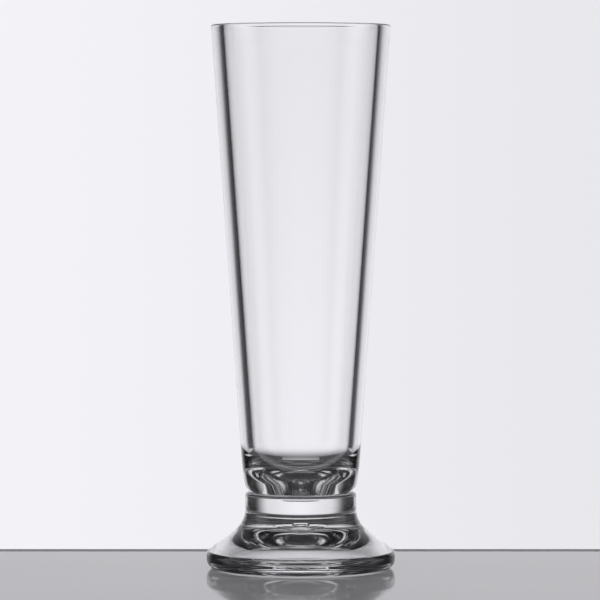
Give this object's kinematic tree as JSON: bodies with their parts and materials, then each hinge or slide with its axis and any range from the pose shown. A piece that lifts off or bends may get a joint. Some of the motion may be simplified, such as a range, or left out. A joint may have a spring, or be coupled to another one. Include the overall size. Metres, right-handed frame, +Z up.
{
  "type": "dessert shot glass",
  "caption": "Tall tapered clear-plastic dessert glass: a thick-walled cup with a rounded, coned bottom, its shallow plug bonded into the collar of a short flared foot that is hollow underneath.",
  "frame": {"origin": "on the axis of the glass, on the plane that the foot rests on", "axes": "+Z up along the axis towards the rim; the glass is round, so +X and +Y are any two level directions"},
  "size_m": [0.0464, 0.0464, 0.133],
  "materials": {
    "cup_plastic": "clear, polished",
    "bond": "clear, slightly hazy",
    "foot_plastic": "clear, polished"
  },
  "bodies": {
    "root": {"cup": "cup_plastic", "bond_ring": "bond", "foot": "foot_plastic"}
  },
  "joints": []
}
